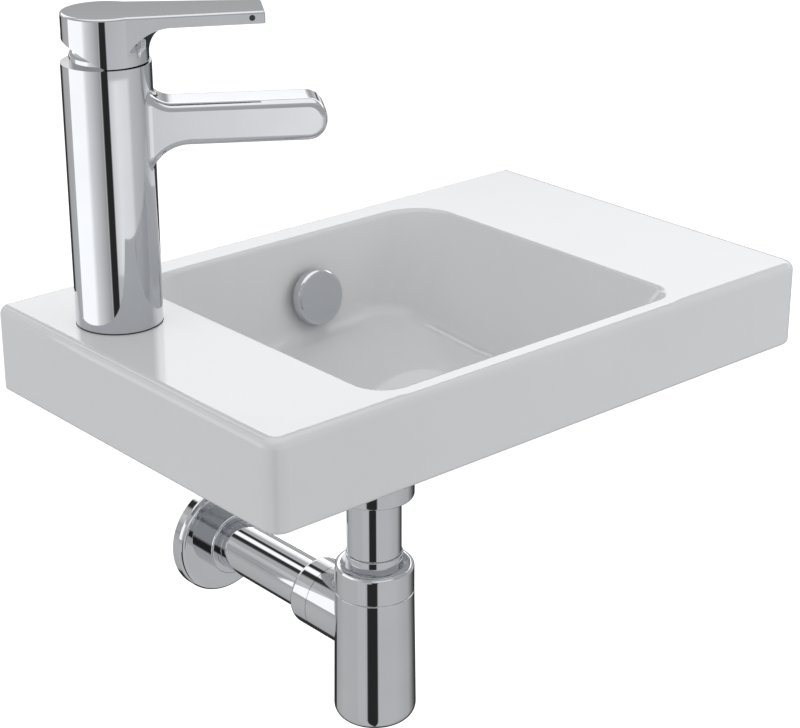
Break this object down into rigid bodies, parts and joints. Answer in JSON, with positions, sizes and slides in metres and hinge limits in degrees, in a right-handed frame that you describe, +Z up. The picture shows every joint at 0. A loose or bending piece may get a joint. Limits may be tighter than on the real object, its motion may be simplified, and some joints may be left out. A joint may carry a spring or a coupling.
{
  "type": "washbasin",
  "caption": "Wall-hung hand-rinse washbasin: white glazed slab with offset bowl, chromed single-lever mixer, overflow cover, push plug, and bottle trap with wall rosette.",
  "frame": {"origin": "on the wall plane, midway between the two wall-fixing holes, 25 mm under the basin's top", "axes": "+Z up, +Y into the wall, +X to the right as seen from the front"},
  "size_m": [0.4, 0.266, 0.4275],
  "materials": {
    "china": "gloss",
    "chrome": "polished",
    "brass": "satin",
    "rubber": "matte",
    "plastic": "satin",
    "steel": "satin",
    "disc_ceramic": "polished",
    "indicator": "gloss"
  },
  "bodies": {
    "basin": {"basin_body": "china", "overflow_cover": "chrome", "overflow_clip": "plastic", "waste_body": "chrome", "waste_flange_seal": "rubber", "waste_under_seal": "rubber", "waste_back_nut": "chrome", "plug_guide": "plastic", "tail_union_nut": "chrome", "tail_seal": "rubber", "tail_pipe": "chrome", "trap_cap": "chrome", "inlet_seal": "rubber", "trap_cap_seal": "rubber", "trap_bottle": "chrome", "outlet_union_nut": "chrome", "outlet_seal": "rubber", "outlet_pipe": "chrome", "wall_rosette": "chrome", "tap_body": "chrome", "tap_base_gasket": "rubber", "mounting_stud": "steel", "horseshoe_gasket": "rubber", "horseshoe_plate": "steel", "stud_nut": "steel", "aerator_housing": "chrome", "aerator_insert": "plastic", "aerator_seal": "rubber", "cartridge_base": "plastic", "cartridge_base_seals": "rubber", "cartridge_housing": "plastic", "fixed_disc": "disc_ceramic", "cartridge_clamp_nut": "brass", "dome_ring": "chrome"},
    "turret": {"cartridge_turret": "plastic", "pivot_pin": "steel"},
    "lever": {"cartridge_stem": "brass", "lever_handle": "chrome", "lever_screw": "steel", "indicator_plug": "indicator"},
    "valve_disc": {"moving_disc": "disc_ceramic", "disc_carrier": "plastic"},
    "plug": {"plug_cap": "chrome", "plug_seal": "rubber"}
  },
  "joints": [
    {"name": "lever_swivel", "type": "hinge", "parent": "basin", "child": "turret", "pos_m": [-0.1608, -0.0624, 0.172], "axis": [0, 0, 1], "range_deg": [-45, 45]},
    {"name": "lever_tilt", "type": "hinge", "parent": "turret", "child": "lever", "pos_m": [-0.1608, -0.0624, 0.1785], "axis": [-0.5446, -0.8387, 0], "range_deg": [0, 25]},
    {"name": "disc_slide", "type": "slide", "parent": "turret", "child": "valve_disc", "axis": [0.8387, -0.5446, 0], "range_m": [0, 0.00529]},
    {"name": "plug_slide", "type": "slide", "parent": "basin", "child": "plug", "axis": [0, 0, 1], "range_m": [-0.007, 0]}
  ],
  "couplings": [
    {"joint": "disc_slide", "follows": "lever_tilt", "m_per_rad": 0.012107}
  ]
}
